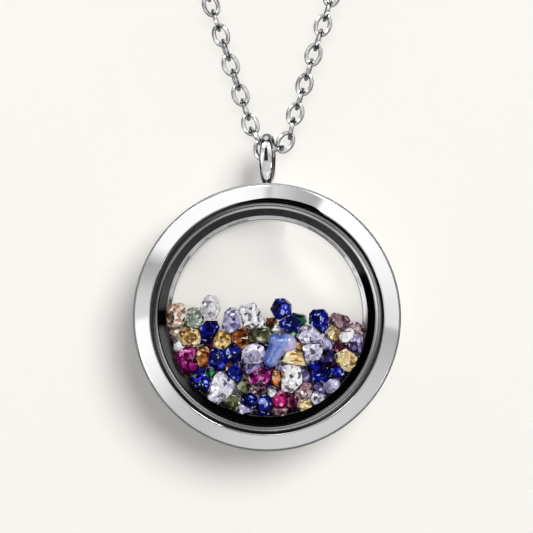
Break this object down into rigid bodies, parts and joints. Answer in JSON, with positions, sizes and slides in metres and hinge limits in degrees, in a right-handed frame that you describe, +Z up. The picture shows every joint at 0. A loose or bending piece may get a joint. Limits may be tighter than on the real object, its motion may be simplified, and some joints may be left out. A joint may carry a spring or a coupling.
{
  "type": "floating locket necklace",
  "caption": "Round glass-faced locket with loose faceted stones inside, hung by a small drop-shaped bail on a closed loop of fine cable chain.",
  "frame": {"origin": "where the nape or a hook carries the chain's loop, under the middle of the clasp", "axes": "+Z up, along the hanging necklace from the locket to the clasp; the locket's front glass faces -Y; +X to the viewer's right"},
  "size_m": [0.1052, 0.007, 0.251],
  "materials": {
    "polished_steel": "mirror polished",
    "chain_steel": "polished",
    "clear_glass": "clear",
    "mixed_stones": "faceted and polished",
    "peach_stone": "faceted and polished",
    "sage_stone": "faceted and polished",
    "clear_stone": "faceted and polished",
    "gold_stone": "faceted and polished",
    "sapphire_stone": "faceted and polished",
    "lilac_stone": "faceted and polished",
    "pale_lilac_stone": "faceted and polished",
    "honey_stone": "faceted and polished",
    "amber_stone": "faceted and polished",
    "olive_stone": "faceted and polished",
    "magenta_stone": "faceted and polished",
    "hot_pink_stone": "faceted and polished",
    "agate_stone": "tumbled and polished",
    "mauve_stone": "faceted and polished",
    "violet_stone": "faceted and polished",
    "citrine_stone": "faceted and polished",
    "maroon_stone": "faceted and polished",
    "dusk_blue_stone": "faceted and polished"
  },
  "bodies": {
    "loop": {"chain": "chain_steel", "clasp": "polished_steel"},
    "locket": {"back_case": "polished_steel", "back_glass": "clear_glass", "peach_step": "peach_stone", "sage_round": "sage_stone", "clear_left": "clear_stone", "gold_round_left": "gold_stone", "sapphire_upright": "sapphire_stone", "lilac_slanting": "lilac_stone", "clear_crown": "clear_stone", "honey_left": "honey_stone", "amber_left": "amber_stone", "olive_top": "olive_stone", "magenta_left": "magenta_stone", "orange_left": "amber_stone", "sapphire_round": "sapphire_stone", "sapphire_cushion": "sapphire_stone", "lilac_round": "pale_lilac_stone", "sapphire_low_left": "sapphire_stone", "lilac_large": "pale_lilac_stone", "sapphire_drop": "sapphire_stone", "magenta_middle": "magenta_stone", "sapphire_kite": "sapphire_stone", "olive_gold_low": "olive_stone", "sapphire_tall": "sapphire_stone", "hot_pink": "hot_pink_stone", "agate": "agate_stone", "sapphire_peak": "sapphire_stone", "sapphire_slanting": "sapphire_stone", "sapphire_right": "sapphire_stone", "mauve_bow": "mauve_stone", "violet_wall": "violet_stone", "lilac_white_large": "pale_lilac_stone", "lilac_right": "pale_lilac_stone", "gold_round_right": "gold_stone", "sapphire_low_right": "sapphire_stone", "sapphire_thin": "sapphire_stone", "citrine_shard": "citrine_stone", "clear_prism": "clear_stone", "mauve_low": "mauve_stone", "lilac_low_right": "lilac_stone", "maroon_low": "maroon_stone", "dusk_blue": "dusk_blue_stone", "front_chips": "mixed_stones", "rear_chips": "mixed_stones"},
    "front": {"front_bezel": "polished_steel", "front_glass": "clear_glass"}
  },
  "joints": [
    {"name": "swing", "type": "hinge", "parent": "loop", "child": "locket", "pos_m": [0, 0, -0.21393], "axis": [1, 0, 0], "range_deg": [-90, 90]},
    {"name": "front_lift", "type": "slide", "parent": "locket", "child": "front", "axis": [0, -1, 0], "range_m": [0, 0.01]}
  ]
}
